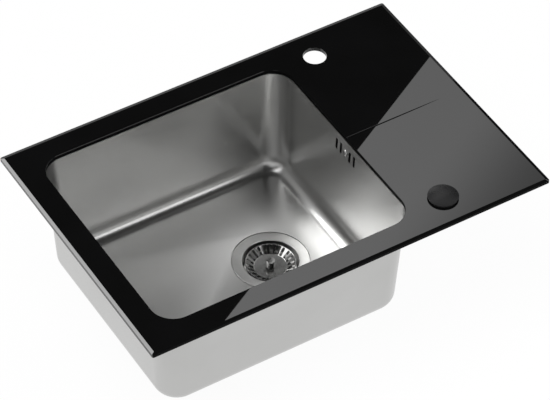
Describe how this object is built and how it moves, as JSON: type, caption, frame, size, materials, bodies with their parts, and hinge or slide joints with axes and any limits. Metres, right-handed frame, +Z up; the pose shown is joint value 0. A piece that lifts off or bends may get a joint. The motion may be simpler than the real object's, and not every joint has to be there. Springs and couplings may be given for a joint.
{
  "type": "kitchen sink",
  "caption": "Inset kitchen sink: bevelled black glass deck with drainer and tap hole over a drawn steel bowl, basket waste opened by a push button through a cable, and an overflow.",
  "frame": {"origin": "centre of the deck's outline, on the worktop surface that the seal lies on", "axes": "+X along the deck from the bowl towards the drainer, +Y across it towards the tap hole at the back, +Z up"},
  "size_m": [0.65, 0.44, 0.2917],
  "materials": {
    "black_glass": "opaque black toughened glass, polished",
    "bond_adhesive": "cured black adhesive",
    "seal_foam": "closed-cell foam",
    "zinc_steel": "zinc plated",
    "satin_steel": "fine satin, brushed along the walls",
    "damping_pad": "bitumen pad, matt",
    "polished_steel": "polished",
    "gasket_rubber": "moulded rubber",
    "fibre_ring": "pressed fibre",
    "white_plastic": "moulded, semi-matt",
    "stem_steel": "turned",
    "spring_steel": "drawn wire",
    "lever_plastic": "moulded, matt",
    "button_plastic": "gloss black",
    "black_plastic": "moulded, matt",
    "cable_vinyl": "extruded sheath"
  },
  "bodies": {
    "sink": {"glass_deck": "black_glass", "deck_bond": "bond_adhesive", "worktop_seal": "seal_foam", "rail_front": "zinc_steel", "rail_back": "zinc_steel", "rail_left": "zinc_steel", "rail_right": "zinc_steel", "bowl": "satin_steel", "sound_pad": "damping_pad", "waste_cup": "polished_steel", "waste_top_gasket": "gasket_rubber", "waste_bottom_gasket": "gasket_rubber", "waste_friction_ring": "fibre_ring", "waste_locknut": "white_plastic", "outlet_washer": "gasket_rubber", "outlet_body": "white_plastic", "pin_guide": "white_plastic", "shaft_seal": "gasket_rubber", "cable_gland": "black_plastic", "cable_sheath": "cable_vinyl", "overflow_gasket": "gasket_rubber", "overflow_elbow": "black_plastic", "overflow_screw": "polished_steel", "overflow_pipe": "white_plastic", "pipe_nut_top": "white_plastic", "pipe_nut_bottom": "white_plastic", "pipe_seal_top": "gasket_rubber", "pipe_seal_bottom": "gasket_rubber", "button_housing": "black_plastic", "button_gasket": "gasket_rubber", "button_washer": "zinc_steel", "button_nut": "black_plastic", "button_spring": "spring_steel", "button_base": "black_plastic"},
    "button": {"button_cap": "button_plastic", "button_plunger": "black_plastic"},
    "push_rod": {"push_rod": "stem_steel"},
    "lever": {"lift_lever": "lever_plastic", "lever_shaft": "stem_steel", "lever_crank": "lever_plastic"},
    "lift_pin": {"lift_pin": "stem_steel"},
    "strainer": {"strainer_basket": "polished_steel", "strainer_knob": "polished_steel", "strainer_stem": "stem_steel", "strainer_seal": "gasket_rubber", "strainer_nut": "stem_steel"}
  },
  "joints": [
    {"name": "pin_lift", "type": "slide", "parent": "sink", "child": "lift_pin", "axis": [0, 0, 1], "range_m": [0, 0.006]},
    {"name": "button_press", "type": "slide", "parent": "sink", "child": "button", "axis": [0, 0, -1], "range_m": [0, 0.002], "stiffness_N_per_m": 400, "springref_m": -0.004, "deforming": ["button_spring"]},
    {"name": "rod_push", "type": "slide", "parent": "sink", "child": "push_rod", "axis": [-1, 0, 0], "range_m": [0, 0.002]},
    {"name": "lever_turn", "type": "hinge", "parent": "sink", "child": "lever", "pos_m": [0.02, 0, -0.23], "axis": [0, 1, 0], "range_deg": [0, 14.37]},
    {"name": "strainer_lift_out", "type": "slide", "parent": "lift_pin", "child": "strainer", "axis": [0, 0, 1], "range_m": [0, 0.23]}
  ],
  "couplings": [
    {"joint": "button_press", "follows": "pin_lift", "ratio": 0.33333},
    {"joint": "rod_push", "follows": "pin_lift", "ratio": 0.33333},
    {"joint": "lever_turn", "follows": "pin_lift", "rad_per_m": 41.776}
  ]
}
